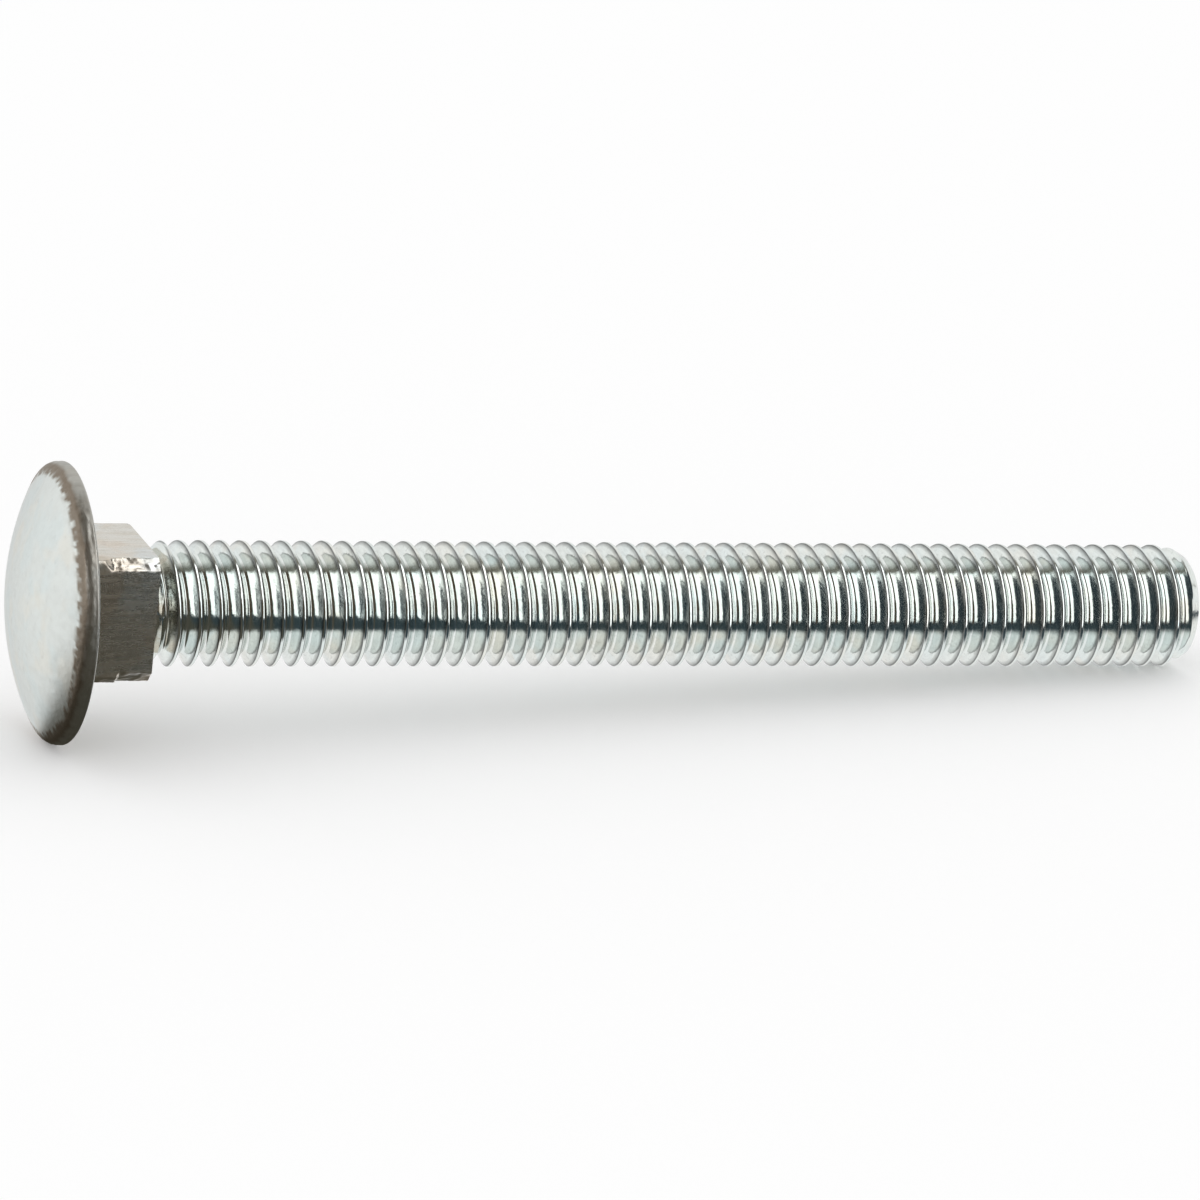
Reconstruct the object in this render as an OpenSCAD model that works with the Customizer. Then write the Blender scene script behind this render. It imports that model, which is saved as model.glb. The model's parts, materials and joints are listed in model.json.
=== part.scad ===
/* [Head] */
// Diameter of the round head
head_d = 20.9; // [19.9:0.1:21.4]
// Height of the head, from the bearing face to the top of the dome
head_h = 3.75; // [2.9:0.05:5.3]
// Height of the rim, from the bearing face to where the head is widest
rim_h = 0.45; // [0.4:0.05:0.8]
// Full rounding between the dome and the rim
dome_edge_r = 0.9; // [0.4:0.05:1]
// Rounding of the rim's edge at the bearing face
bearing_edge_r = 0.25; // [0.1:0.05:0.3]

/* [Square neck] */
// Width of the neck across its flats
neck_w = 9.52; // [9.35:0.01:9.86]
// Depth of the neck below the bearing face
neck_h = 5.8; // [4.8:0.1:6.5]
// Rounding of the neck's four long corners
neck_corner_r = 0.3; // [0.1:0.05:0.6]
// How far the four corners are turned off at the neck's lower end
neck_bevel = 0.3; // [0.1:0.05:1]

/* [Marks on the neck's front corners] */
// Width of the flat that was pressed on the lower corner
mark_w = 0.7; // [0.3:0.05:0.9]
// Width of the deeper part of the flat, at the neck's lower end
mark_deep_w = 1.3; // [1:0.05:1.6]
// Length of the deeper part of the flat
mark_deep_h = 2.7; // [1.5:0.1:4]
// Width of the flat that was rubbed on the upper corner
scuff_w = 1.1; // [0.5:0.05:1.6]
// Length of that flat, from the neck's lower end
scuff_h = 4.6; // [3:0.1:4.7]

/* [Threaded shank] */
// Length of the bolt, from the bearing face to the point
bolt_l = 88.9; // [50.8:0.1:101.6]
// Major diameter of the thread
thread_d = 9.38; // [9.25:0.01:9.49]
// Distance from one turn to the next: sixteen turns to the inch
pitch = 1.5875; // [1.4:0.0005:1.8]
// Length of the bare root between the neck and the first turn
root_gap = 0.5; // [0.3:0.05:1]
// Length of the cone at the point
point_l = 1.4; // [1:0.1:2]
// Diameter of the flat end of the point
point_d = 7.85; // [7.6:0.05:8.4]
// Flat facets along one turn of the groove
turn_facets = 24; // [16:4:28]

/* [Hidden] */
$fn = 96;

head_r = head_d / 2;
thread_r = thread_d / 2;
point_r = point_d / 2;

// The rounding is centred at the rim's upper end, and the dome is a cap of the sphere that it meets
// without a corner
edge_centre_r = head_r - dome_edge_r;
cap_h = head_h - rim_h;
dome_r = (pow(edge_centre_r, 2) + pow(cap_h, 2) - pow(dome_edge_r, 2)) / (2 * (cap_h - dome_edge_r));
dome_centre_h = head_h - dome_r;
// Where the rounding meets the dome
edge_meet_r = edge_centre_r * dome_r / (dome_r - dome_edge_r);

// Angles of the neck's two front corners round the axis, from the side that lies down
lower_corner = -45;
upper_corner = -135;

// Unified thread form: sixty degrees, a crest flat of an eighth of the pitch
half_flank = 30;
crest_w = pitch / 8;
thread_depth = 0.6134 * pitch;
root_r = thread_r - thread_depth;
root_w = pitch - crest_w - 2 * thread_depth * tan(half_flank);
// The groove's cutter reaches past the crests, so that its flat facets cut them from end to end
cutter_over = 0.03;
cutter_r = thread_r / cos(180 / turn_facets) + cutter_over;
cutter_w = pitch - crest_w + 2 * (cutter_r - thread_r) * tan(half_flank);

// The last crest ends where the cone of the point begins, on the side that lies on the floor
crest_end = bolt_l - point_l;
turns = ceil((bolt_l - neck_h) / pitch) + 1;
groove_end = crest_end - crest_w / 2 + (floor(point_l / pitch) + 1.5) * pitch;
groove_start = groove_end - turns * pitch;

// The bare root lies a little inside the flat facets of the groove's floor
bare_under = 0.03;
bare_r = root_r * cos(180 / turn_facets) - bare_under;

// The shank begins inside the neck, so that the two are one solid
seat_in_neck = neck_h / 2;

// At rest the rim of the head and the last crest touch the floor
rest_a = crest_end + bearing_edge_r;
rest_b = head_r - bearing_edge_r - thread_r;
rest_tilt = atan2(rest_b, rest_a) + asin(bearing_edge_r / norm([rest_a, rest_b]));

zinc = [0.76, 0.79, 0.78];

// Half section of the head: height is measured up from the bearing face
module head_section() {
    // Dome
    intersection() {
        translate([0, dome_centre_h]) circle(r = dome_r, $fn = 256);
        square([edge_meet_r, head_h]);
    }
    // Rounding between the dome and the rim
    translate([edge_centre_r, rim_h]) intersection() {
        circle(r = dome_edge_r);
        square(dome_edge_r);
    }
    // Rim
    translate([0, bearing_edge_r]) square([head_r, rim_h - bearing_edge_r]);
    // Rounded lower edge and bearing face
    translate([head_r - bearing_edge_r, bearing_edge_r]) circle(r = bearing_edge_r);
    square([head_r - bearing_edge_r, 2 * bearing_edge_r]);
}

module head() {
    mirror([0, 0, 1]) rotate_extrude() head_section();
}

// Square with round corners, made of two bars and four circles
module neck_outline() {
    inner = neck_w - 2 * neck_corner_r;
    square([neck_w, inner], center = true);
    square([inner, neck_w], center = true);
    for (x = [-1, 1], y = [-1, 1])
        translate([x, y] * inner / 2) circle(r = neck_corner_r);
}

// Solid of revolution that turns the corners off at the neck's lower end
module neck_limit() {
    corner_r = neck_w / 2 * sqrt(2);
    cylinder(r = corner_r, h = neck_h - neck_bevel);
    translate([0, 0, neck_h - neck_bevel])
        cylinder(r1 = corner_r, r2 = corner_r - neck_bevel, h = neck_bevel);
}

// Flat of a given width across the long corner at a given angle round the axis
module corner_flat(angle, width, from_h) {
    corner_r = neck_w / 2 * sqrt(2);
    rotate([0, 0, angle])
        translate([corner_r - width / 2, -neck_w / 2, from_h])
            cube([neck_w, neck_w, neck_h]);
}

module square_neck() {
    difference() {
        intersection() {
            linear_extrude(height = neck_h) neck_outline();
            neck_limit();
        }
        corner_flat(lower_corner, mark_w, 0);
        corner_flat(lower_corner, mark_deep_w, neck_h - mark_deep_h);
        corner_flat(upper_corner, scuff_w, neck_h - scuff_h);
    }
    // The head and the neck are forged in one: this core joins them
    translate([0, 0, -rim_h / 2]) cylinder(r = root_r, h = rim_h);
}

// Shank before its thread is cut: bare root, run-in cone, full diameter, point
module shank_blank() {
    run_in = neck_h + root_gap;
    rotate_extrude()
        polygon([
            [0, seat_in_neck],
            [bare_r, seat_in_neck],
            [bare_r, run_in],
            [thread_r, run_in + thread_r - bare_r],
            [thread_r, crest_end],
            [point_r, bolt_l],
            [0, bolt_l]
        ]);
}

// Four corners of the groove's section, as distance from the axis and place along it
function groove_corners() = [
    [root_r, -root_w / 2],
    [root_r, root_w / 2],
    [cutter_r, cutter_w / 2],
    [cutter_r, -cutter_w / 2]
];

// The section carried round a right-hand helix
module thread_groove() {
    corners = groove_corners();
    n = len(corners);
    steps = turns * turn_facets;
    points = [
        for (i = [0:steps])
            let (turn = i / turn_facets)
                for (c = corners)
                    [c[0] * cos(360 * turn), c[0] * sin(360 * turn),
                     groove_start + pitch * turn + c[1]]
    ];
    sides = [
        for (i = [0:steps - 1], k = [0:n - 1])
            let (near = n * i, far = n * (i + 1), next = (k + 1) % n)
                [near + k, far + k, far + next, near + next]
    ];
    first_cap = [for (k = [0:n - 1]) k];
    last_cap = [for (k = [n - 1:-1:0]) n * steps + k];
    polyhedron(points = points, faces = concat(sides, [first_cap, last_cap]), convexity = 20);
}

module threaded_shank() {
    difference() {
        shank_blank();
        thread_groove();
    }
}

// The whole bolt, point up the Z axis and the bearing face at the origin
module upright_bolt() {
    head();
    square_neck();
    threaded_shank();
}

// The bolt as it lies: its axis along X, the point a little lower than the head
module carriage_bolt() {
    color(zinc) rotate([0, 90 + rest_tilt, 0]) upright_bolt();
}

carriage_bolt();
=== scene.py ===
"""A bright zinc-plated carriage bolt, lying on a pale floor as it comes to rest.

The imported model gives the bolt's sizes and its place. The head, the square neck and the rolled thread
are modelled in the bolt's own frame: Z runs from the bearing face to the point and X points at the floor.
"""

from __future__ import annotations

import json
import logging
import math
from collections.abc import Callable
from dataclasses import dataclass
from enum import Enum

import bmesh
import bpy
from mathutils import Matrix, Vector, noise

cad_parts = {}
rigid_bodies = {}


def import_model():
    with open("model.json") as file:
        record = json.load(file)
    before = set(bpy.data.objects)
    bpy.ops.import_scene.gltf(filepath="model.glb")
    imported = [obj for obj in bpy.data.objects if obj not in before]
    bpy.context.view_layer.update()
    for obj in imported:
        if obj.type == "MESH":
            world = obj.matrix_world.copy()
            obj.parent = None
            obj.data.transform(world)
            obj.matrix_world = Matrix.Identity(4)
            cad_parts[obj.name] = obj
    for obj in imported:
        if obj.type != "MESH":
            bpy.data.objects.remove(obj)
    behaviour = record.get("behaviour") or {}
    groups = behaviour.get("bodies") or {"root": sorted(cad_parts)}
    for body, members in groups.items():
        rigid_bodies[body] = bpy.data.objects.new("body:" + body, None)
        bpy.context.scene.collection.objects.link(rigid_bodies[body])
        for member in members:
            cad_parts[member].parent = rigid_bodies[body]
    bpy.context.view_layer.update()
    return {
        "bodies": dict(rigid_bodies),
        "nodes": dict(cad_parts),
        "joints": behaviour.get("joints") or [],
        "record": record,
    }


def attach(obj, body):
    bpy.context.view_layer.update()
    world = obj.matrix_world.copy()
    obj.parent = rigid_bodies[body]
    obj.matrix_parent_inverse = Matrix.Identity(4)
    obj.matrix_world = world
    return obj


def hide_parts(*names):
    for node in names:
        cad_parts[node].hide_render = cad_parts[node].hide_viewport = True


log = logging.getLogger("carriage_bolt")

MM = 0.001
NODE = "carriage_bolt"
BODY = "root"
# Vertex attribute that tells the finishes how much forging skin and painted shade lie at a vertex
SKIN_AND_SHADE = "skin_and_shade"
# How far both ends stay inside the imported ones, which are made of flat facets
INSIDE = 0.003 * MM
WHITE = (1.0, 1.0, 1.0, 1.0)

Rgb = tuple[float, float, float]
Rgba = tuple[float, float, float, float]
# Where a smooth step begins and where it is whole
Span = tuple[float, float]


class Corner(Enum):
    """Long corners of the square neck, by their angle in degrees round the bolt's axis."""

    FRONT_LOWER = -45.0
    FRONT_UPPER = -135.0

    def direction(self) -> Vector:
        """Unit vector from the axis to the corner."""
        turn = math.radians(self.value)
        return Vector((math.cos(turn), math.sin(turn), 0.0))


class Pattern(Enum):
    """Patterns of noise, by the shift that tells one from another."""

    RIM_SPOTS = 3.0
    RIM_WAVES = 8.0
    RIM_SKIN_AND_SHADE_EDGE = 21.0
    RIM_SKIN_AND_SHADE_SPOTS = 27.0
    NECK_WEAR = 5.0
    NECK_SKIN = 31.0
    CREST_WEAR = 11.0


class Shown(Enum):
    """Where a part of the studio is seen."""

    IN_REFLECTIONS = "in reflections only"
    OUTSIDE_REFLECTIONS = "everywhere else"


@dataclass(frozen=True)
class BoltFrame:
    """The bolt's sizes and place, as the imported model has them. Lengths are in metres."""

    lying: Matrix
    head_r: float
    head_h: float
    neck_w: float
    neck_h: float
    thread_r: float
    bolt_l: float

    @classmethod
    def measured(cls, frame: dict) -> "BoltFrame":
        """Reads the axis from the mounts and the sizes from the node's own mesh.


        Returns:
            The bolt's sizes with the matrix that lays it down.
        """
        mounts = {mount["name"]: mount for mount in frame["record"]["mounts"]}
        axis = Vector(mounts["bearing_face"]["axis"]).normalized()
        side = Vector((0.0, 1.0, 0.0))
        down = side.cross(axis).normalized()
        lying = Matrix((down, side, axis)).transposed().to_4x4()
        lying.translation = Vector(mounts["bearing_face"]["pos_m"])
        standing = lying.inverted()
        points = [standing @ vertex.co for vertex in frame["nodes"][NODE].data.vertices]
        neck_h = mounts["square_neck"]["dims"]["length_mm"] * MM
        beside_neck = [abs(p.y) for p in points if 0.1 * neck_h < p.z < 0.9 * neck_h]
        return cls(
            lying=lying,
            head_r=max(p.xy.length for p in points),
            head_h=-min(p.z for p in points) - INSIDE,
            neck_w=2.0 * max(beside_neck),
            neck_h=neck_h,
            thread_r=mounts["thread"]["dims"]["r_mm"] * MM,
            bolt_l=max(p.z for p in points) - INSIDE,
        )

    @property
    def neck_corner(self) -> float:
        """Distance from the axis to the neck's corner, as if it were sharp."""
        return self.neck_w / 2.0 * math.sqrt(2.0)


class Outline:
    """A half section drawn as one run of lines and arcs, then turned about the bolt's axis."""

    def __init__(self, radius: float, along: float) -> None:
        """Starts the run at a distance from the axis and a place along it."""
        self.mesh = bmesh.new()
        self.end = self.mesh.verts.new((radius, 0.0, along))

    def line(self, radius: float, along: float, pieces: int = 1) -> None:
        """Draws a straight line from the run's end.

        Args:
            radius: distance of the line's end from the axis.
            along: place of the line's end along the axis.
            pieces: equal parts that the line is made of.
        """
        step = (Vector((radius, 0.0, along)) - self.end.co) / pieces
        for _ in range(pieces):
            drawn = bmesh.ops.extrude_vert_indiv(self.mesh, verts=[self.end])
            moved = drawn["verts"][0]
            bmesh.ops.translate(self.mesh, vec=step, verts=[moved])
            self.end = moved

    def arc(self, radius: float, along: float, degrees: float, pieces: int) -> None:
        """Draws an arc from the run's end about a centre.

        Args:
            radius: distance of the arc's centre from the axis.
            along: place of the arc's centre along the axis.
            degrees: turn of the arc, above zero where it bulges outwards.
            pieces: straight parts that the arc is made of.
        """
        drawn = bmesh.ops.spin(
            self.mesh,
            geom=[self.end],
            cent=(radius, 0.0, along),
            axis=(0.0, 1.0, 0.0),
            dvec=(0.0, 0.0, 0.0),
            angle=-math.radians(degrees),
            steps=pieces,
            use_merge=False,
            use_normal_flip=False,
            use_duplicate=False,
        )
        self.end = drawn["geom_last"][0]

    def turned(self, steps: int, climb: float = 0.0, turns: int = 1) -> bmesh.types.BMesh:
        """Turns the section about the axis, and along it too where it climbs.

        Args:
            steps: facets in one turn.
            climb: distance that it moves along the axis in one turn.
            turns: how often it goes round at least; the number of turns is doubled until it is reached.

        Returns:
            The turned mesh, with its doubles merged.
        """
        bmesh.ops.spin(
            self.mesh,
            geom=self.mesh.verts[:] + self.mesh.edges[:],
            cent=(0.0, 0.0, 0.0),
            axis=(0.0, 0.0, 1.0),
            dvec=(0.0, 0.0, climb / steps),
            angle=math.radians(360.0),
            steps=steps,
            use_merge=climb == 0.0,
            use_normal_flip=False,
            use_duplicate=False,
        )
        made = 1
        while made < turns:
            whole = self.mesh.verts[:] + self.mesh.edges[:] + self.mesh.faces[:]
            copied = bmesh.ops.duplicate(self.mesh, geom=whole)["geom"]
            moved = [part for part in copied if isinstance(part, bmesh.types.BMVert)]
            bmesh.ops.translate(self.mesh, vec=(0.0, 0.0, climb * made), verts=moved)
            made *= 2
        bmesh.ops.remove_doubles(self.mesh, verts=self.mesh.verts[:], dist=0.001 * MM)
        return self.mesh


def to_radius(vertex: bmesh.types.BMVert, radius: float) -> None:
    """Moves a vertex straight towards the axis or away from it.

    Args:
        vertex: a vertex of the bolt; one on the axis stays.
        radius: its new distance from the axis.
    """
    now = vertex.co.xy.length
    if now > 0.0:
        vertex.co.xy *= radius / now


def smooth_step(value: float, low: float, high: float) -> float:
    """Rises smoothly from 0 at low to 1 at high, also where low lies above high."""
    share = min(max((value - low) / (high - low), 0.0), 1.0)
    return share * share * (3.0 - 2.0 * share)


def mottle(place: Vector, grain: float, pattern: Pattern) -> float:
    """Smooth noise of three octaves, between about -1 and 1.

    Args:
        place: point in the bolt's own frame.
        grain: size of one spot, in metres.
        pattern: the pattern that is read.

    Returns:
        The noise at that point.
    """
    shift = Vector((pattern.value, -pattern.value, 0.5 * pattern.value))
    return noise.fractal(place / grain + shift, 1.0, 2.0, 3)


def close_openings(mesh: bmesh.types.BMesh) -> None:
    """Fills every open loop of a mesh and turns its faces outwards.

    Args:
        mesh: the mesh, with its doubles merged.
    """
    rims = [edge for edge in mesh.edges if edge.is_boundary]
    if rims:
        bmesh.ops.edgeloop_fill(mesh, edges=rims)
    bmesh.ops.recalc_face_normals(mesh, faces=mesh.faces[:])


def laid_down(
    mesh: bmesh.types.BMesh,
    name: str,
    bolt: BoltFrame,
    sharp: float,
    skin_and_shade: Callable[[bmesh.types.BMVert], float],
) -> bpy.types.Object:
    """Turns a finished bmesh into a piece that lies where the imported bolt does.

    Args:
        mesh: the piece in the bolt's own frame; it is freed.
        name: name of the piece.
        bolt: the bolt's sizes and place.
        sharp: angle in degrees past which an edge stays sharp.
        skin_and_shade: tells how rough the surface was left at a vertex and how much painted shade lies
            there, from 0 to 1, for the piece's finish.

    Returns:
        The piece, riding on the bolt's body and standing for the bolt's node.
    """
    mesh.normal_update()
    layer = mesh.verts.layers.float.new(SKIN_AND_SHADE)
    for vertex in mesh.verts:
        vertex[layer] = min(max(skin_and_shade(vertex), 0.0), 1.0)
    bmesh.ops.transform(mesh, matrix=bolt.lying, verts=mesh.verts[:])
    data = bpy.data.meshes.new(name)
    mesh.to_mesh(data)
    mesh.free()
    data.shade_smooth()
    data.set_sharp_from_angle(angle=math.radians(sharp))
    piece = bpy.data.objects.new(name, data)
    bpy.context.scene.collection.objects.link(piece)
    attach(piece, BODY)
    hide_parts(NODE)
    triangles = sum(len(face.vertices) - 2 for face in data.polygons)
    log.info("%s: %d vertices, %d triangles", name, len(data.vertices), triangles)
    return piece


@dataclass(frozen=True)
class RoundHead:
    """The low domed head, with the ragged edge and the skin that forging leaves round its rim, darkened
    further by a painted dark reflection.

    Wear, skin and painted reflection are measured from the rim inwards.
    """

    bolt: BoltFrame
    rim_h: float = 0.45 * MM
    dome_edge_r: float = 0.9 * MM
    bearing_edge_r: float = 0.25 * MM
    facets: int = 320
    dome_parts: int = 44
    edge_parts: int = 14
    bearing_edge_parts: int = 5
    face_parts: int = 10
    sharp: float = 50.0
    ragged: float = 0.05 * MM
    ragged_grain: float = 0.42 * MM
    wave: float = 0.03 * MM
    wave_grain: float = 3.0 * MM
    wear_begun: float = 1.1 * MM
    wear_whole: float = 0.35 * MM
    wear_above_face: Span = (0.05 * MM, 0.4 * MM)
    # The rim's forging skin also carries a painted dark reflection where the rounding begins
    skin_and_shade_begun: Span = (1.15 * MM, 0.95 * MM)
    skin_and_shade_whole: Span = (0.85 * MM, 0.55 * MM)
    skin_and_shade_faded: Span = (0.30 * MM, 0.05 * MM)
    skin_and_shade_fade: float = 0.45
    skin_and_shade_edge: float = 0.09 * MM
    skin_and_shade_edge_grain: float = 0.9 * MM
    skin_and_shade_spots: Span = (-0.45, 0.25)
    skin_and_shade_spots_grain: float = 0.6 * MM
    face_turn: Span = (0.5, 0.9)
    face_skin: float = 0.4

    def section(self) -> Outline:
        """Draws the half section from the top of the dome to the bearing face.

        Returns:
            The section as an outline.
        """
        head_r = self.bolt.head_r
        edge_r = self.dome_edge_r
        edge_at = head_r - edge_r
        cap_h = self.bolt.head_h - self.rim_h
        dome_r = (edge_at**2 + cap_h**2 - edge_r**2) / (2.0 * (cap_h - edge_r))
        tilt = math.degrees(math.asin(edge_at / (dome_r - edge_r)))
        outline = Outline(0.0, -self.bolt.head_h)
        outline.arc(0.0, dome_r - self.bolt.head_h, tilt, self.dome_parts)
        outline.arc(edge_at, -self.rim_h, 90.0 - tilt, self.edge_parts)
        outline.line(head_r, -self.bearing_edge_r, 2)
        outline.arc(head_r - self.bearing_edge_r, -self.bearing_edge_r, 90.0, self.bearing_edge_parts)
        outline.line(head_r - 2.0 * self.bearing_edge_r, 0.0)
        outline.line(self.bolt.neck_w / 2.0, 0.0, self.face_parts)
        outline.line(0.0, 0.0, 3)
        return outline

    def wear(self, mesh: bmesh.types.BMesh) -> None:
        """Roughens the dome's edge and the rim, always inwards.

        Args:
            mesh: the turned head.
        """
        head_r = self.bolt.head_r
        for vertex in mesh.verts:
            radius = vertex.co.xy.length
            near_rim = smooth_step(radius, head_r - self.wear_begun, head_r - self.wear_whole)
            above_face = smooth_step(-vertex.co.z, *self.wear_above_face)
            spots = mottle(vertex.co, self.ragged_grain, Pattern.RIM_SPOTS)
            waves = mottle(vertex.co, self.wave_grain, Pattern.RIM_WAVES)
            depth = self.ragged * (0.5 + 0.5 * spots) * near_rim
            depth += self.wave * (0.5 + 0.5 * waves) * smooth_step(radius, 0.0, head_r)
            shift = min(max(depth, 0.0), 2.0 * self.ragged) * above_face
            to_radius(vertex, radius - shift * near_rim)
            vertex.co.z += shift * smooth_step(-vertex.co.z, self.rim_h, self.bolt.head_h)

    def skin_and_shade(self, vertex: bmesh.types.BMVert) -> float:
        """Tells how much forging skin and painted dark reflection there is: none on the dome, most where
        the rounding begins.

        Args:
            vertex: a vertex of the head.

        Returns:
            The skin and painted reflection, from 0 to 1.
        """
        inside = self.bolt.head_r - vertex.co.xy.length
        inside += self.skin_and_shade_edge * mottle(vertex.co, self.skin_and_shade_edge_grain, Pattern.RIM_SKIN_AND_SHADE_EDGE)
        begun = smooth_step(inside, *self.skin_and_shade_begun)
        whole = smooth_step(inside, *self.skin_and_shade_whole)
        spots = mottle(vertex.co, self.skin_and_shade_spots_grain, Pattern.RIM_SKIN_AND_SHADE_SPOTS)
        spots = smooth_step(spots, *self.skin_and_shade_spots)
        faded = 1.0 - self.skin_and_shade_fade * smooth_step(inside, *self.skin_and_shade_faded)
        on_face = smooth_step(vertex.normal.z, *self.face_turn)
        on_edge = begun * (whole + (1.0 - whole) * spots) * faded * (1.0 - on_face)
        return max(on_edge, self.face_skin * on_face)

    def build(self) -> bpy.types.Object:
        """Builds the head.

        Returns:
            The head as a piece.
        """
        mesh = self.section().turned(self.facets)
        bmesh.ops.recalc_face_normals(mesh, faces=mesh.faces[:])
        self.wear(mesh)
        return laid_down(mesh, "round_head", self.bolt, self.sharp, self.skin_and_shade)


@dataclass(frozen=True)
class SquareNeck:
    """The short square neck, with the flats that forging pressed on its two front corners.

    Reaches are shares of the distance from the axis to a corner or to a side.
    """

    bolt: BoltFrame
    in_head: float = 0.5 * MM
    corner_r: float = 0.3 * MM
    bevel: float = 0.3 * MM
    mark_w: float = 0.7 * MM
    mark_deep_w: float = 1.3 * MM
    mark_deep_h: float = 2.7 * MM
    scuff_w: float = 1.1 * MM
    scuff_h: float = 4.6 * MM
    corner_parts: int = 8
    cells: int = 72
    sharp: float = 38.0
    mark_deep_rise: float = 0.25 * MM
    scuff_rise: float = 1.2 * MM
    uneven: float = 0.12
    wear_depth: float = 0.03 * MM
    wear_grain: float = 0.8 * MM
    side_reach: Span = (0.98, 1.02)
    side_wear: float = 0.25
    corner_reach: Span = (1.15, 1.35)
    corner_wear: float = 0.75
    skin_grain: float = 0.6 * MM
    side_skin: float = 0.15
    lower_reach: Span = (0.80, 0.90)
    lower_skin: float = 0.6
    upper_reach: Span = (0.86, 0.90)
    upper_end: Span = (2.3 * MM, 1.5 * MM)
    upper_ragged: float = 0.5 * MM
    upper_skin: float = 0.85

    def block(self) -> bmesh.types.BMesh:
        """Makes the square block with round corners, cut into small cells.

        Returns:
            The block in the bolt's own frame.
        """
        height = self.bolt.neck_h + self.in_head
        mesh = bmesh.new()
        bmesh.ops.create_cube(mesh, size=1.0)
        bmesh.ops.scale(mesh, vec=(self.bolt.neck_w, self.bolt.neck_w, height), verts=mesh.verts[:])
        bmesh.ops.translate(mesh, vec=(0.0, 0.0, height / 2.0 - self.in_head), verts=mesh.verts[:])
        bmesh.ops.bevel(
            mesh,
            geom=self.edges_along(mesh, height),
            offset=self.corner_r,
            offset_type="OFFSET",
            affect="EDGES",
            segments=self.corner_parts,
            profile=0.5,
            material=-1,
            clamp_overlap=True,
        )
        flats = [edge for edge in mesh.edges if edge.calc_length() > self.bolt.neck_w / 2.0]
        across = [edge for edge in flats if edge.verts[0].co.z == edge.verts[1].co.z]
        bmesh.ops.subdivide_edges(mesh, edges=across, cuts=self.cells, use_grid_fill=True)
        bmesh.ops.subdivide_edges(
            mesh, edges=self.edges_along(mesh, height), cuts=self.cells * 3 // 4, use_grid_fill=True
        )
        return mesh

    @staticmethod
    def edges_along(mesh: bmesh.types.BMesh, height: float) -> list[bmesh.types.BMEdge]:
        """Lists the edges that run along the axis from end to end of a block of that height."""
        return [e for e in mesh.edges if abs(e.verts[0].co.z - e.verts[1].co.z) > 0.9 * height]

    def turn_off(self, vertex: bmesh.types.BMVert) -> None:
        """Keeps the corners inside the cone that turns them off at the lower end.

        Args:
            vertex: a vertex of the neck.
        """
        limit = self.bolt.neck_corner - max(0.0, vertex.co.z - (self.bolt.neck_h - self.bevel))
        if vertex.co.xy.length > limit:
            to_radius(vertex, limit)

    def press(self, vertex: bmesh.types.BMVert, corner: Corner, width: float) -> None:
        """Presses a vertex back to the flat on one corner.

        Args:
            vertex: a vertex of the neck.
            corner: the corner that carries the flat.
            width: width of the flat at this height.
        """
        out = corner.direction()
        limit = self.bolt.neck_corner - width / 2.0
        past = vertex.co.dot(out) - limit
        if past > 0.0:
            vertex.co -= past * out

    def wear(self, mesh: bmesh.types.BMesh) -> None:
        """Shapes the corners and leaves the marks of the forging die, always inwards.

        Args:
            mesh: the block.
        """
        neck_h = self.bolt.neck_h
        half = self.bolt.neck_w / 2.0
        for vertex in mesh.verts:
            if vertex.co.z < 0.0:
                continue
            self.turn_off(vertex)
            ragged = mottle(vertex.co, self.wear_grain, Pattern.NECK_WEAR)
            deep_from = neck_h - self.mark_deep_h
            deep = smooth_step(vertex.co.z, deep_from, deep_from + self.mark_deep_rise)
            width = self.mark_w + (self.mark_deep_w - self.mark_w) * deep + self.uneven * MM * ragged
            self.press(vertex, Corner.FRONT_LOWER, width)
            scuff_from = neck_h - self.scuff_h
            scuffed = smooth_step(vertex.co.z, scuff_from, scuff_from + self.scuff_rise)
            self.press(vertex, Corner.FRONT_UPPER, self.scuff_w * scuffed * (1.0 + self.uneven * ragged))
            reach = vertex.co.xy.length
            at_corner = smooth_step(reach, half * self.corner_reach[0], half * self.corner_reach[1])
            on_side = smooth_step(reach, half * self.side_reach[0], half * self.side_reach[1])
            share = self.side_wear * on_side + self.corner_wear * at_corner
            depth = self.wear_depth * (0.5 + 0.5 * ragged) * share
            to_radius(vertex, vertex.co.xy.length - max(depth, 0.0))

    def skin_and_shade(self, vertex: bmesh.types.BMVert) -> float:
        """Tells how much forging skin there is: most of it where the two front corners were pressed.

        Args:
            vertex: a vertex of the neck.

        Returns:
            The skin, from about 0 to past 1.
        """
        corner_r = self.bolt.neck_corner
        ragged = mottle(vertex.co, self.skin_grain, Pattern.NECK_SKIN)
        lower = smooth_step(vertex.co.dot(Corner.FRONT_LOWER.direction()) / corner_r, *self.lower_reach)
        upper = smooth_step(vertex.co.dot(Corner.FRONT_UPPER.direction()) / corner_r, *self.upper_reach)
        upper *= smooth_step(vertex.co.z + self.upper_ragged * ragged, *self.upper_end)
        side = self.side_skin + self.side_skin * ragged
        return side + self.lower_skin * lower + self.upper_skin * upper

    def build(self) -> bpy.types.Object:
        """Builds the neck.

        Returns:
            The neck as a piece.
        """
        mesh = self.block()
        self.wear(mesh)
        bmesh.ops.recalc_face_normals(mesh, faces=mesh.faces[:])
        return laid_down(mesh, "square_neck", self.bolt, self.sharp, self.skin_and_shade)


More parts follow.
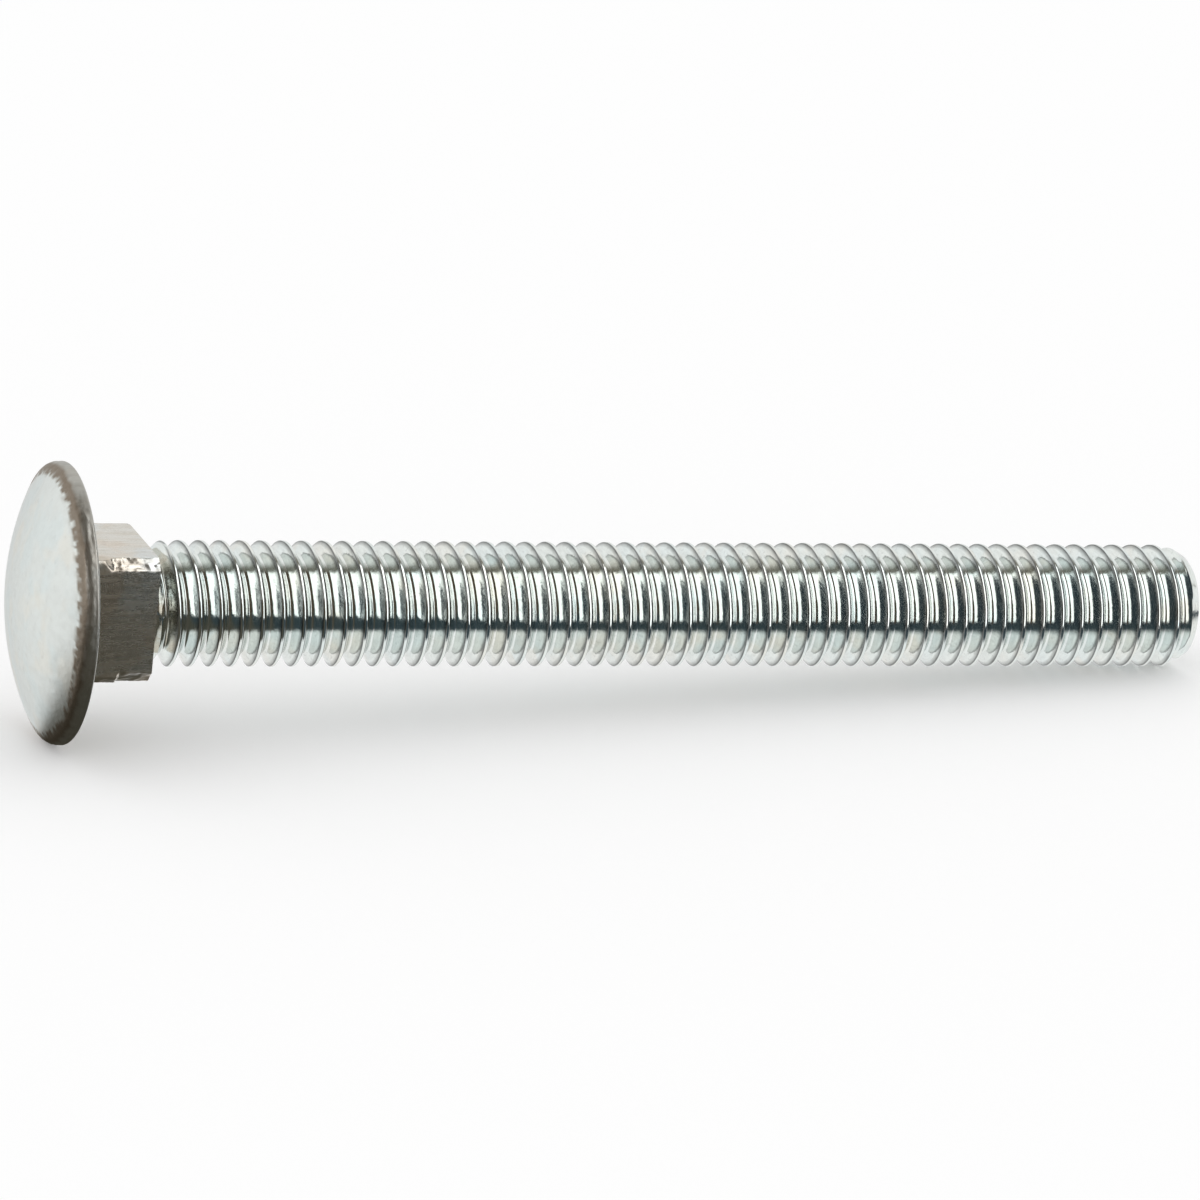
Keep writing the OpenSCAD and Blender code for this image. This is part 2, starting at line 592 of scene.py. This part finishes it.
@dataclass(frozen=True)
class RolledThread:
    """The shank: bare root under the neck, a right-hand unified thread and the coned point."""

    bolt: BoltFrame
    turns_per_inch: float = 16.0
    half_flank: float = 30.0
    depth_share: float = 0.6134
    crest_share: float = 0.125
    crest_edge_r: float = 0.07 * MM
    root_edge_r: float = 0.22 * MM
    # Width of the black line of painted shade beside each crest
    shade_line_w: float = 0.12 * MM
    bare_under: float = 0.06 * MM
    root_gap: float = 0.5 * MM
    point_l: float = 1.4 * MM
    point_r: float = 3.925 * MM
    facets: int = 80
    round_parts: int = 2
    flank_parts: int = 3
    sharp: float = 40.0
    crest_wear: float = 0.03 * MM
    wear_grain: float = 0.7 * MM
    worn_from: float = 0.6
    flank_turn: Span = (0.5, 0.75)
    shade_line_reach: Span = (1.7, 0.9)
    point_side_shade_line: float = 0.5

    @property
    def pitch(self) -> float:
        """Distance from one turn to the next."""
        return 25.4 * MM / self.turns_per_inch

    @property
    def root_r(self) -> float:
        """Radius of the groove's floor."""
        return self.bolt.thread_r - self.depth_share * self.pitch

    def section(self, start: float) -> Outline:
        """Draws one pitch of the thread form, from the middle of one root to the next.

        Args:
            start: place of the first root along the axis.

        Returns:
            The form as an outline.
        """
        slope = math.radians(self.half_flank)
        turn = 90.0 - self.half_flank
        bend = math.tan(math.radians(turn) / 2.0)
        crest_w = self.crest_share * self.pitch
        depth = self.depth_share * self.pitch
        root_half = (self.pitch - crest_w) / 2.0 - depth * math.tan(slope)
        root_cut = self.root_edge_r * bend
        crest_cut = self.crest_edge_r * bend
        crest_r = self.bolt.thread_r
        rise = start + root_half + depth * math.tan(slope)
        fall = rise + crest_w
        foot = start + self.pitch - root_half
        outline = Outline(self.root_r, start)
        outline.line(self.root_r, start + root_half - root_cut)
        root_round = self.root_r + self.root_edge_r
        crest_round = crest_r - self.crest_edge_r
        outline.arc(root_round, start + root_half - root_cut, -turn, self.round_parts)
        beside = crest_cut + self.shade_line_w
        outline.line(crest_r - beside * math.cos(slope), rise - beside * math.sin(slope), self.flank_parts)
        outline.line(crest_r - crest_cut * math.cos(slope), rise - crest_cut * math.sin(slope))
        outline.arc(crest_round, rise + crest_cut, turn, self.round_parts)
        outline.line(crest_r, fall - crest_cut)
        outline.arc(crest_round, fall - crest_cut, turn, self.round_parts)
        foot_r = self.root_r + root_cut * math.cos(slope)
        outline.line(foot_r, foot - root_cut * math.sin(slope), self.flank_parts)
        outline.arc(root_round, foot + root_cut, -turn, self.round_parts)
        outline.line(self.root_r, start + self.pitch)
        return outline

    def limit(self, along: float) -> float:
        """Works out how wide the blank was before its thread was rolled.

        Args:
            along: place along the axis.

        Returns:
            The blank's radius there.
        """
        bare = self.root_r - self.bare_under
        run_in = bare + max(0.0, along - self.bolt.neck_h - self.root_gap)
        fall = (self.bolt.thread_r - self.point_r) / self.point_l
        cone = self.point_r + (self.bolt.bolt_l - along) * fall
        return min(run_in, cone, self.bolt.thread_r)

    def wear(self, mesh: bmesh.types.BMesh) -> None:
        """Keeps the thread inside the blank and wears its crests a little.

        Args:
            mesh: the turned thread.
        """
        deep = self.root_r + self.worn_from * (self.bolt.thread_r - self.root_r)
        for vertex in mesh.verts:
            radius = min(vertex.co.xy.length, self.limit(vertex.co.z))
            worn = 0.5 + 0.5 * mottle(vertex.co, self.wear_grain, Pattern.CREST_WEAR)
            radius -= self.crest_wear * max(worn, 0.0) * smooth_step(radius, deep, self.bolt.thread_r)
            to_radius(vertex, radius)

    def skin_and_shade(self, vertex: bmesh.types.BMVert) -> float:
        """Tells where a black line of painted shade lies: only close beside a crest, less on the point's
        side.

        Args:
            vertex: a vertex of the thread.

        Returns:
            The painted shade, from 0 to 1.
        """
        below = self.bolt.thread_r - vertex.co.xy.length
        on_flank = smooth_step(abs(vertex.normal.z), *self.flank_turn)
        reach = self.shade_line_w if vertex.normal.z < 0.0 else self.point_side_shade_line * self.shade_line_w
        return on_flank * smooth_step(below, self.shade_line_reach[0] * reach, self.shade_line_reach[1] * reach)

    def build(self) -> bpy.types.Object:
        """Builds the shank.

        Returns:
            The threaded shank as a piece.
        """
        crest_end = self.bolt.bolt_l - self.point_l
        below = crest_end - self.crest_share * self.pitch / 2.0 - self.pitch / 2.0
        cut = self.bolt.neck_h / 2.0
        start = below - math.ceil((below - cut) / self.pitch + 1.0) * self.pitch
        turns = math.ceil((self.bolt.bolt_l - start) / self.pitch) + 1
        mesh = self.section(start).turned(self.facets, self.pitch, turns)
        self.wear(mesh)
        self.trim(mesh, cut, -1.0)
        self.trim(mesh, self.bolt.bolt_l, 1.0)
        close_openings(mesh)
        return laid_down(mesh, "rolled_thread", self.bolt, self.sharp, self.skin_and_shade)

    @staticmethod
    def trim(mesh: bmesh.types.BMesh, along: float, side: float) -> None:
        """Cuts away what lies past a plane across the axis.

        Args:
            mesh: the thread.
            along: place of the plane.
            side: 1 to cut the point's side away, -1 to cut the head's side away.
        """
        bmesh.ops.bisect_plane(
            mesh,
            geom=mesh.verts[:] + mesh.edges[:] + mesh.faces[:],
            dist=0.0005 * MM,
            plane_co=(0.0, 0.0, along),
            plane_no=(0.0, 0.0, side),
            clear_outer=True,
            clear_inner=False,
        )


class Wiring:
    """Adds nodes to a tree and joins them."""

    def __init__(self, tree: bpy.types.NodeTree) -> None:
        """Keeps the tree that the nodes go into."""
        self.tree = tree

    def add(self, kind: str, settings: dict | None = None, **inputs: object) -> bpy.types.Node:
        """Adds one node.

        Args:
            kind: the node's type name.
            settings: the node's own properties.
            **inputs: values or sockets for its inputs, with _ for a space, or in0 for the first one.

        Returns:
            The node.
        """
        node = self.tree.nodes.new(kind)
        for name, value in (settings or {}).items():
            setattr(node, name, value)
        for name, value in inputs.items():
            socket = node.inputs[int(name[2:]) if name[2:].isdigit() else name.replace("_", " ")]
            if isinstance(value, bpy.types.NodeSocket):
                self.tree.links.new(value, socket)
            else:
                socket.default_value = value
        return node

    def math(self, operation: str, first: object, second: object = 0.0, clamp: bool = False) -> object:
        """Adds a Math node and returns its output socket."""
        settings = {"operation": operation, "use_clamp": clamp}
        return self.add("ShaderNodeMath", settings, in0=first, in1=second).outputs[0]

    def mix(self, share: object, first: object, second: object) -> object:
        """Adds a colour Mix node and returns its output socket."""
        settings = {"data_type": "RGBA", "blend_type": "MIX", "clamp_factor": True}
        return self.add("ShaderNodeMix", settings, in0=share, in6=first, in7=second).outputs[2]

    def ramp(
        self, value: object, low: float, high: float, to_low: float = 0.0, to_high: float = 1.0
    ) -> object:
        """Adds a smooth Map Range node and returns its output socket."""
        settings = {"interpolation_type": "SMOOTHSTEP"}
        sockets = {"in0": value, "in1": low, "in2": high, "in3": to_low, "in4": to_high}
        return self.add("ShaderNodeMapRange", settings, **sockets).outputs[0]

    def noise(self, place: object, scale: object, detail: float, roughness: float = 0.5) -> object:
        """Adds a Noise Texture and returns its value socket."""
        sockets = {"Vector": place, "Scale": scale, "Detail": detail, "Roughness": roughness}
        return self.add("ShaderNodeTexNoise", None, **sockets).outputs[0]

    def band(self, value: object, low: object, high: object, soft: float) -> object:
        """Gives 1 between two limits and 0 outside them.

        Args:
            value: what is tested.
            low: lower limit.
            high: upper limit.
            soft: how far each edge fades to either side.

        Returns:
            The socket of the band.
        """
        above = self.ramp(self.math("SUBTRACT", value, low), -soft, soft)
        below = self.ramp(self.math("SUBTRACT", value, high), -soft, soft, 1.0, 0.0)
        return self.math("MULTIPLY", above, below)

    def place(self) -> object:
        """Adds the node that gives a point's Object coordinates and returns their socket."""
        return self.add("ShaderNodeTexCoord").outputs["Object"]


def group_node(
    name: str, inputs: dict[str, str], outputs: dict[str, str]
) -> tuple[Wiring, object, object]:
    """Starts a shader node group.

    Args:
        name: name of the group.
        inputs: socket types by name.
        outputs: socket types by name.

    Returns:
        The group's wiring, what its inputs give and what its outputs take.
    """
    tree = bpy.data.node_groups.new(name, "ShaderNodeTree")
    for socket, kind in inputs.items():
        tree.interface.new_socket(name=socket, in_out="INPUT", socket_type=kind)
    for socket, kind in outputs.items():
        tree.interface.new_socket(name=socket, in_out="OUTPUT", socket_type=kind)
    wiring = Wiring(tree)
    return wiring, wiring.add("NodeGroupInput").outputs, wiring.add("NodeGroupOutput").inputs


class FinishGroups:
    """The node groups that every zinc-plated surface of the bolt shares."""

    FLOAT = "NodeSocketFloat"
    COLOUR = "NodeSocketColor"
    VECTOR = "NodeSocketVector"
    PIT_EDGE = (0.60, 0.74)
    PIT_DEPTH = 2.0
    BLUE_EDGE = (0.45, 0.62)
    STRAW_EDGE = (0.50, 0.66)
    STRAW_SHIFT = (3.1, 1.7, 5.3)
    STREAK_EDGE = (0.30, 0.72)
    STREAK_DETAIL = 4.0
    STREAK_ROUGHNESS = 0.62

    def __init__(self) -> None:
        """Builds each group once."""
        self.grain = self.plate_grain()
        self.tint = self.chromate_tint()
        self.streaks = self.drawn_streaks()

    def plate_grain(self) -> bpy.types.NodeTree:
        """Fine crystals and small pits of the plating.

        Returns:
            The group that gives their height and a mask of the pits.
        """
        inputs = {"Place": self.VECTOR}
        inputs.update({name: self.FLOAT for name in ("Crystal scale", "Pit scale", "Pits")})
        outputs = {"Height": self.FLOAT, "Pit mask": self.FLOAT}
        wiring, given, out = group_node("plate_grain", inputs, outputs)
        crystals = wiring.noise(given["Place"], given["Crystal scale"], 3.0)
        cells = wiring.noise(given["Place"], given["Pit scale"], 1.0)
        pits = wiring.math("MULTIPLY", wiring.ramp(cells, *self.PIT_EDGE), given["Pits"])
        height = wiring.math("SUBTRACT", crystals, wiring.math("MULTIPLY", pits, self.PIT_DEPTH))
        wiring.tree.links.new(height, out["Height"])
        wiring.tree.links.new(pits, out["Pit mask"])
        return wiring.tree

    def chromate_tint(self) -> bpy.types.NodeTree:
        """Clouds of the faint blue and straw tints that the chromate film gives.

        Returns:
            The group that gives their colour.
        """
        inputs = {"Place": self.VECTOR, "Scale": self.FLOAT}
        inputs.update({name: self.COLOUR for name in ("Plate", "Blue", "Straw")})
        wiring, given, out = group_node("chromate_tint", inputs, {"Color": self.COLOUR})
        first = wiring.noise(given["Place"], given["Scale"], 2.0)
        shifted = {"in0": given["Place"], "in1": self.STRAW_SHIFT}
        moved = wiring.add("ShaderNodeVectorMath", {"operation": "ADD"}, **shifted).outputs[0]
        second = wiring.noise(moved, given["Scale"], 3.0)
        bluish = wiring.mix(wiring.ramp(first, *self.BLUE_EDGE), given["Plate"], given["Blue"])
        tinted = wiring.mix(wiring.ramp(second, *self.STRAW_EDGE), bluish, given["Straw"])
        wiring.tree.links.new(tinted, out["Color"])
        return wiring.tree

    def drawn_streaks(self) -> bpy.types.NodeTree:
        """Fine scratches that follow one direction.

        Returns:
            The group that gives their mask.
        """
        inputs = {"Place": self.VECTOR, "Stretch": self.VECTOR}
        wiring, given, out = group_node("drawn_streaks", inputs, {"Mask": self.FLOAT})
        scaled = {"in0": given["Place"], "in1": given["Stretch"]}
        stretched = wiring.add("ShaderNodeVectorMath", {"operation": "MULTIPLY"}, **scaled).outputs[0]
        fine = wiring.noise(stretched, 1.0, self.STREAK_DETAIL, self.STREAK_ROUGHNESS)
        wiring.tree.links.new(wiring.ramp(fine, *self.STREAK_EDGE), out["Mask"])
        return wiring.tree


@dataclass(frozen=True)
class ZincFinish:
    """Bright zinc plate as it looks on one part of the bolt. Scales are spots for each metre."""

    name: str
    plate: Rgb
    blue: Rgb
    straw: Rgb
    # Colour, share, roughness and bump where forging skin and painted shade lie
    skin_and_shade_colour: Rgb
    skin_and_shade_share: float
    tint_scale: float
    edge_tint: float
    roughness: float
    roughness_spread: float
    skin_and_shade_roughness: float
    crystal_scale: float
    pit_scale: float
    pits: float
    streak_stretch: tuple[float, float, float]
    streak_share: float
    bump_height: float
    skin_and_shade_bump: float
    pit_colour: Rgb = (0.12, 0.11, 0.10)

    def material(self, groups: FinishGroups) -> bpy.types.Material:
        """Builds the material.

        Args:
            groups: the shared node groups.

        Returns:
            The finish as a material.
        """
        material = bpy.data.materials.new(self.name)
        material.use_nodes = True
        tree = material.node_tree
        tree.nodes.clear()
        wiring = Wiring(tree)
        place = wiring.place()
        skin_and_shade = wiring.add("ShaderNodeAttribute", {"attribute_name": SKIN_AND_SHADE}).outputs["Fac"]
        tint = wiring.add(
            "ShaderNodeGroup",
            {"node_tree": groups.tint},
            Place=place,
            Scale=self.tint_scale,
            Plate=(*self.plate, 1.0),
            Blue=(*self.blue, 1.0),
            Straw=(*self.straw, 1.0),
        ).outputs["Color"]
        grain = wiring.add(
            "ShaderNodeGroup",
            {"node_tree": groups.grain},
            Place=place,
            Crystal_scale=self.crystal_scale,
            Pit_scale=self.pit_scale,
            Pits=self.pits,
        ).outputs
        streaks = wiring.add(
            "ShaderNodeGroup", {"node_tree": groups.streaks}, Place=place, Stretch=self.streak_stretch
        ).outputs["Mask"]
        dulled = wiring.math("MULTIPLY", streaks, self.streak_share)
        # Forging skin and painted shade darken the colour here
        darkened = wiring.math("MULTIPLY", skin_and_shade, self.skin_and_shade_share)
        covered = wiring.math("ADD", dulled, darkened, clamp=True)
        colour = wiring.mix(covered, tint, (*self.skin_and_shade_colour, 1.0))
        pitted = wiring.mix(grain["Pit mask"], colour, (*self.pit_colour, 1.0))
        spread = wiring.math("MULTIPLY", streaks, self.roughness_spread)
        coarse = wiring.math("MULTIPLY", skin_and_shade, self.skin_and_shade_roughness)
        rough = wiring.math("ADD", wiring.math("ADD", spread, coarse), self.roughness)
        gain = wiring.math("MULTIPLY", skin_and_shade, self.skin_and_shade_bump)
        height = wiring.math("MULTIPLY", grain["Height"], wiring.math("ADD", gain, 1.0))
        bump = wiring.add("ShaderNodeBump", None, Strength=1.0, Distance=self.bump_height, Height=height)
        shader = wiring.add(
            "ShaderNodeBsdfPrincipled",
            None,
            Base_Color=pitted,
            Metallic=1.0,
            Roughness=rough,
            Specular_Tint=(self.edge_tint, self.edge_tint, self.edge_tint, 1.0),
            Normal=bump.outputs["Normal"],
        )
        wiring.add("ShaderNodeOutputMaterial", None, Surface=shader.outputs[0])
        return material


HEAD_FINISH = ZincFinish(
    name="zinc_on_the_head",
    plate=(0.765, 0.80, 0.775),
    blue=(0.745, 0.80, 0.785),
    straw=(0.79, 0.80, 0.75),
    # Dark brown of the rim: forging skin with a painted dark reflection over it
    skin_and_shade_colour=(0.24, 0.19, 0.14),
    skin_and_shade_share=0.9,
    tint_scale=300.0,
    edge_tint=0.75,
    roughness=0.30,
    roughness_spread=0.08,
    skin_and_shade_roughness=0.12,
    crystal_scale=2600.0,
    pit_scale=1500.0,
    pits=0.05,
    streak_stretch=(300.0, 1500.0, 1500.0),
    streak_share=0.05,
    bump_height=0.012 * MM,
    skin_and_shade_bump=2.0,
)
NECK_FINISH = ZincFinish(
    name="zinc_on_the_neck",
    plate=(0.74, 0.73, 0.68),
    blue=(0.72, 0.76, 0.76),
    straw=(0.74, 0.68, 0.60),
    skin_and_shade_colour=(0.55, 0.48, 0.38),
    skin_and_shade_share=0.35,
    tint_scale=330.0,
    edge_tint=0.8,
    roughness=0.20,
    roughness_spread=0.10,
    skin_and_shade_roughness=0.10,
    crystal_scale=3000.0,
    pit_scale=1900.0,
    pits=0.10,
    streak_stretch=(350.0, 3500.0, 3500.0),
    streak_share=0.40,
    bump_height=0.010 * MM,
    skin_and_shade_bump=1.0,
)
THREAD_FINISH = ZincFinish(
    name="zinc_on_the_thread",
    plate=(0.81, 0.85, 0.82),
    blue=(0.79, 0.85, 0.835),
    straw=(0.83, 0.84, 0.79),
    # Black of the painted shade beside the crests
    skin_and_shade_colour=(0.04, 0.04, 0.04),
    skin_and_shade_share=0.85,
    tint_scale=260.0,
    edge_tint=0.85,
    roughness=0.09,
    roughness_spread=0.05,
    skin_and_shade_roughness=0.10,
    crystal_scale=3000.0,
    pit_scale=2600.0,
    pits=0.12,
    streak_stretch=(7000.0, 700.0, 700.0),
    streak_share=0.12,
    bump_height=0.005 * MM,
    skin_and_shade_bump=0.5,
)


@dataclass(frozen=True)
class Studio:
    """Pale floor, soft light and the camera at the photograph's angle. Angles are in degrees.

    Angles of the tent rise from the side of the camera over the top to the back.
    """

    bolt: BoltFrame
    floor_size: float = 3.0
    floor_under: float = 0.02 * MM
    floor_colour: Rgba = (0.86, 0.86, 0.86, 1.0)
    floor_glow: float = 0.13
    azimuth: float = 341.0
    elevation: float = 18.0
    distance: float = 0.58
    roll: float = 2.44
    left_edge: float = 4.0 / 1200.0
    right_edge: float = 1.0 / 1200.0
    lowered: float = 3.0 / 1200.0
    sensor: float = 36.0
    camera_tries: int = 6
    tent_r: float = 180.0 * MM
    tent_from: float = -600.0 * MM
    tent_to: float = 700.0 * MM
    tent_facets: int = 96
    box_low_near_head: float = 24.0
    box_low_middle: float = -25.0
    box_low_from: float = 74.0 * MM
    box_low_to: float = 160.0 * MM
    box_low_soft: float = 9.0 * MM
    box_high: float = 93.0
    gap_low: float = -100.0
    gap_high: float = 112.0
    gap_soft: float = 13.0
    box_from: float = 45.0 * MM
    box_to: float = 167.0 * MM
    box_strength: float = 1.9
    box_soft: float = 4.0
    box_end_soft: float = 3.0 * MM
    left_box_to: float = -190.0 * MM
    gap: Rgba = (0.20, 0.19, 0.16, 1.0)
    dark_left: Rgba = (0.085, 0.068, 0.048, 1.0)
    dark_right: Rgba = (0.034, 0.048, 0.058, 1.0)
    dark_change: Span = (-3.0 * MM, 5.0 * MM)
    card_near_head: float = 10.5 * MM
    card_near_point: float = 6.9 * MM
    card_far_middle: float = 15.0 * MM
    card_far_point: float = 11.0 * MM
    card_head: float = 10.0 * MM
    card_neck: Span = (5.0 * MM, 11.0 * MM)
    card_opens: Span = (22.0 * MM, 44.0 * MM)
    card_half_l: float = 600.0 * MM
    card_reach: float = 190.0 * MM
    card_over: float = 0.1 * MM
    card_edge: float = 1.5 * MM
    card_warm: Rgba = (0.085, 0.080, 0.064, 1.0)
    card_cool: Rgba = (0.045, 0.064, 0.074, 1.0)
    card_cools: Span = (14.0 * MM, 24.0 * MM)

    @staticmethod
    def stage_object(mesh: bmesh.types.BMesh, name: str, shown: Shown) -> Wiring:
        """Places a finished mesh as a part of the studio.

        Args:
            mesh: the mesh; it is freed.
            name: name of the object and of its material.
            shown: where it is seen.

        Returns:
            The empty wiring of its material.
        """
        data = bpy.data.meshes.new(name)
        mesh.to_mesh(data)
        mesh.free()
        thing = bpy.data.objects.new(name, data)
        bpy.context.scene.collection.objects.link(thing)
        in_reflections = shown is Shown.IN_REFLECTIONS
        thing.visible_glossy = in_reflections
        thing.visible_camera = not in_reflections
        thing.visible_diffuse = not in_reflections
        thing.visible_transmission = not in_reflections
        thing.visible_shadow = not in_reflections
        material = bpy.data.materials.new(name)
        material.use_nodes = True
        material.node_tree.nodes.clear()
        data.materials.append(material)
        return Wiring(material.node_tree)

    @staticmethod
    def build_world() -> None:
        """Makes the even white surroundings."""
        world = bpy.data.worlds.new("white_room")
        bpy.context.scene.world = world
        world.use_nodes = True
        world.node_tree.nodes.clear()
        wiring = Wiring(world.node_tree)
        background = wiring.add("ShaderNodeBackground", None, Color=WHITE, Strength=1.0)
        wiring.add("ShaderNodeOutputWorld", None, Surface=background.outputs[0])

    def build_tent(self) -> None:
        """Hangs the light tent round the bolt: soft boxes in front, dark between them, white behind.

        The front box covers what crests and roots mirror, and the left one what the flanks mirror.
        Between the boxes and the white back lies a grey gap.
        """
        mesh = bmesh.new()
        bmesh.ops.create_cone(
            mesh,
            cap_ends=False,
            segments=self.tent_facets,
            radius1=self.tent_r,
            radius2=self.tent_r,
            depth=self.tent_to - self.tent_from,
        )
        lying = Matrix.Translation(((self.tent_to + self.tent_from) / 2.0, 0.0, 0.0))
        lying @= Matrix.Rotation(math.pi / 2.0, 4, "Y")
        bmesh.ops.transform(mesh, matrix=lying, verts=mesh.verts[:])
        wiring = self.stage_object(mesh, "light_tent", Shown.IN_REFLECTIONS)
        parts = wiring.add("ShaderNodeSeparateXYZ", None, Vector=wiring.place()).outputs
        along = parts["X"]
        before = wiring.math("MULTIPLY", parts["Y"], -1.0)
        rise = wiring.math("DEGREES", wiring.math("ARCTAN2", parts["Z"], before))
        dip = wiring.band(along, self.box_low_from, self.box_low_to, self.box_low_soft)
        drop = wiring.math("MULTIPLY", dip, self.box_low_middle - self.box_low_near_head)
        low = wiring.math("ADD", drop, self.box_low_near_head)
        front_box = wiring.band(along, self.box_from, self.box_to, self.box_end_soft)
        left_box = wiring.ramp(along, self.left_box_to - self.box_end_soft, self.left_box_to, 1.0, 0.0)
        either = wiring.math("MAXIMUM", front_box, left_box)
        box = wiring.math("MULTIPLY", wiring.band(rise, low, self.box_high, self.box_soft), either)
        change = [self.box_from + shift for shift in self.dark_change]
        sides = wiring.mix(wiring.ramp(along, *change), self.dark_left, self.dark_right)
        above = wiring.ramp(rise, self.box_high - self.box_soft, self.box_high + self.box_soft)
        front_part = wiring.band(rise, self.gap_low, self.gap_high, self.gap_soft)
        tent = wiring.mix(front_part, WHITE, wiring.mix(above, sides, self.gap))
        lit = wiring.mix(box, tent, WHITE)
        strength = wiring.math("ADD", wiring.math("MULTIPLY", box, self.box_strength - 1.0), 1.0)
        glow = wiring.add("ShaderNodeEmission", None, Color=lit, Strength=strength)
        wiring.add("ShaderNodeOutputMaterial", None, Surface=glow.outputs[0])

    def build_floor(self, height: float) -> None:
        """Lays the pale floor.

        Args:
            height: place of the floor along Z.
        """
        mesh = bmesh.new()
        bmesh.ops.create_grid(mesh, x_segments=1, y_segments=1, size=self.floor_size / 2.0)
        bmesh.ops.translate(mesh, vec=(0.0, 0.0, height), verts=mesh.verts[:])
        wiring = self.stage_object(mesh, "floor", Shown.OUTSIDE_REFLECTIONS)
        matt = wiring.add("ShaderNodeBsdfDiffuse", None, Color=self.floor_colour)
        seen = wiring.add("ShaderNodeLightPath").outputs["Is Camera Ray"]
        strength = wiring.math("MULTIPLY", seen, self.floor_glow)
        glow = wiring.add("ShaderNodeEmission", None, Strength=strength)
        both = wiring.add("ShaderNodeAddShader", None, in0=matt.outputs[0], in1=glow.outputs[0])
        wiring.add("ShaderNodeOutputMaterial", None, Surface=both.outputs[0])

    def build_card(self, height: float) -> None:
        """Lays the floor that only reflections show: white, with a dark strip before the bolt.

        Past the strip it is clear, so that the front box shows below the horizon too. Beside the head
        the strip has no end.

        Args:
            height: place of the floor along Z.
        """
        mesh = bmesh.new()
        bmesh.ops.create_grid(mesh, x_segments=1, y_segments=1, size=1.0)
        spread = Matrix.Diagonal((self.card_half_l, self.card_reach, 1.0, 1.0))
        bmesh.ops.transform(mesh, matrix=spread, verts=mesh.verts[:])
        bmesh.ops.translate(mesh, vec=(0.0, 0.0, height + self.card_over), verts=mesh.verts[:])
        wiring = self.stage_object(mesh, "reflected_floor", Shown.IN_REFLECTIONS)
        parts = wiring.add("ShaderNodeSeparateXYZ", None, Vector=wiring.place()).outputs
        along = parts["X"]
        before = wiring.math("MULTIPLY", parts["Y"], -1.0)
        end = self.bolt.bolt_l
        near = wiring.ramp(along, self.card_head, end, self.card_near_head, self.card_near_point)
        near = wiring.math("MULTIPLY", near, wiring.ramp(along, *self.card_neck))
        far = wiring.ramp(along, self.card_opens[1], end, self.card_far_middle, self.card_far_point)
        far = wiring.math("ADD", far, wiring.ramp(along, *self.card_opens, self.card_reach, 0.0))
        strip = wiring.ramp(wiring.math("SUBTRACT", before, near), -self.card_edge, self.card_edge)
        dark = wiring.mix(wiring.ramp(along, *self.card_cools), self.card_warm, self.card_cool)
        in_front = wiring.ramp(wiring.math("SUBTRACT", before, far), -self.card_edge, self.card_edge)
        colour = wiring.mix(strip, WHITE, dark)
        glow = wiring.add("ShaderNodeEmission", None, Color=colour, Strength=1.0)
        clear = wiring.add("ShaderNodeBsdfTransparent")
        ways = {"in0": in_front, "in1": glow.outputs[0], "in2": clear.outputs[0]}
        both = wiring.add("ShaderNodeMixShader", None, **ways)
        wiring.add("ShaderNodeOutputMaterial", None, Surface=both.outputs[0])

    def build_camera(self, points: list[Vector]) -> None:
        """Places the camera, and fits the bolt between the frame's left and right edges.

        Args:
            points: the bolt's vertices.
        """
        data = bpy.data.cameras.new("camera")
        camera = bpy.data.objects.new("camera", data)
        bpy.context.scene.collection.objects.link(camera)
        bpy.context.scene.camera = camera
        turn = math.radians(self.azimuth)
        lift = math.radians(self.elevation)
        level = math.cos(lift)
        back = Vector((math.sin(turn) * level, -math.cos(turn) * level, math.sin(lift)))
        rolled = Matrix.Rotation(math.radians(self.roll), 3, "Z")
        look = (-back).to_track_quat("-Z", "Y").to_matrix() @ rolled
        right = look.col[0]
        up = look.col[1]
        aim = self.bolt.lying @ Vector((0.0, 0.0, self.bolt.bolt_l / 2.0))
        for _ in range(self.camera_tries):
            eye = aim + back * self.distance
            seen = [look.transposed() @ (point - eye) for point in points]
            across = [point.x / -point.z for point in seen]
            upwards = [point.y / -point.z for point in seen]
            width = (max(across) - min(across)) / (1.0 - self.left_edge - self.right_edge)
            middle = min(across) + width * (0.5 - self.left_edge)
            height = (max(upwards) + min(upwards)) / 2.0 + width * self.lowered
            aim += (right * middle + up * height) * self.distance
        camera.matrix_world = Matrix.Translation(aim + back * self.distance) @ look.to_4x4()
        data.sensor_width = self.sensor
        data.lens = data.sensor_width / width
        data.clip_start = 0.01
        data.clip_end = 20.0
        log.info("camera: lens %.1f mm, aimed at %s", data.lens, tuple(round(c, 4) for c in aim))

    def build(self, points: list[Vector]) -> None:
        """Builds the whole studio round the bolt.

        Args:
            points: the bolt's vertices.
        """
        height = min(point.z for point in points) - self.floor_under
        self.build_world()
        self.build_tent()
        self.build_floor(height)
        self.build_card(height)
        self.build_camera(points)
        bpy.context.scene.view_settings.view_transform = "Standard"


def main() -> None:
    """Builds the bolt and the studio."""
    logging.basicConfig(level=logging.INFO, format="%(name)s: %(message)s")
    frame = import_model()
    bolt = BoltFrame.measured(frame)
    points = [vertex.co.copy() for vertex in frame["nodes"][NODE].data.vertices]
    groups = FinishGroups()
    for part, finish in (
        (RoundHead(bolt), HEAD_FINISH),
        (SquareNeck(bolt), NECK_FINISH),
        (RolledThread(bolt), THREAD_FINISH),
    ):
        part.build().data.materials.append(finish.material(groups))
    Studio(bolt).build(points)


if __name__ == "__main__":
    main()
